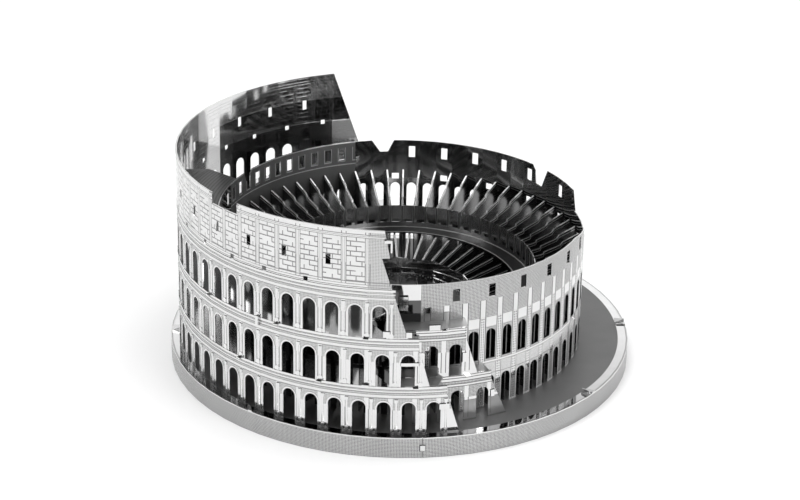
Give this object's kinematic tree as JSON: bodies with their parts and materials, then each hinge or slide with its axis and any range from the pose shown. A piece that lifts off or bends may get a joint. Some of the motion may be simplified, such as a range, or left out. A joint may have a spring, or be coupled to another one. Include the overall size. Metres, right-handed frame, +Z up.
{
  "type": "miniature amphitheatre model",
  "caption": "Small folded sheet-steel model of a ruined oval amphitheatre on a plinth, with arcaded walls, radial seating ribs and a sunken arena.",
  "frame": {"origin": "on the table under the middle of the oval plinth", "axes": "+Z up, +Y along the long axis of the oval with the broken front facing -Y, +X to the right seen from the front"},
  "size_m": [0.114, 0.1276, 0.0533],
  "materials": {
    "etched_sheet": "etched lines on a bright sheet",
    "bright_sheet": "mirror polished",
    "satin_plate": "satin, with a polished rim"
  },
  "bodies": {
    "root": {"arena_wall": "etched_sheet", "base_plate": "satin_plate", "cell_ring": "bright_sheet", "cell_walls": "bright_sheet", "gallery_floor_second": "etched_sheet", "gallery_floor_third": "etched_sheet", "gallery_roof": "etched_sheet", "inner_wall_back": "etched_sheet", "inner_wall_back_left": "etched_sheet", "inner_wall_front_left": "etched_sheet", "inner_wall_left": "etched_sheet", "inner_wall_right": "etched_sheet", "lower_ribs_1": "bright_sheet", "lower_ribs_2": "bright_sheet", "lower_ribs_3": "bright_sheet", "lower_ribs_4": "bright_sheet", "middle_wall": "etched_sheet", "outer_wall_back": "etched_sheet", "outer_wall_front": "etched_sheet", "outer_wall_side": "etched_sheet", "podium_wall_1": "etched_sheet", "podium_wall_2": "etched_sheet", "podium_wall_3": "etched_sheet", "podium_wall_4": "etched_sheet", "seat_ribs_1": "bright_sheet", "seat_ribs_2": "bright_sheet", "seat_ribs_3": "bright_sheet", "seat_ribs_4": "bright_sheet", "seat_ribs_5": "bright_sheet", "seat_ribs_6": "bright_sheet", "seat_ribs_7": "bright_sheet", "seat_ribs_8": "bright_sheet", "skirt_back": "etched_sheet", "skirt_front": "etched_sheet", "skirt_left": "etched_sheet", "terrace_lower": "etched_sheet", "terrace_outer": "etched_sheet", "terrace_upper": "etched_sheet", "walkway_1": "etched_sheet", "walkway_2": "etched_sheet", "walkway_3": "etched_sheet", "walkway_4": "etched_sheet", "wall_tabs": "bright_sheet"}
  },
  "joints": []
}
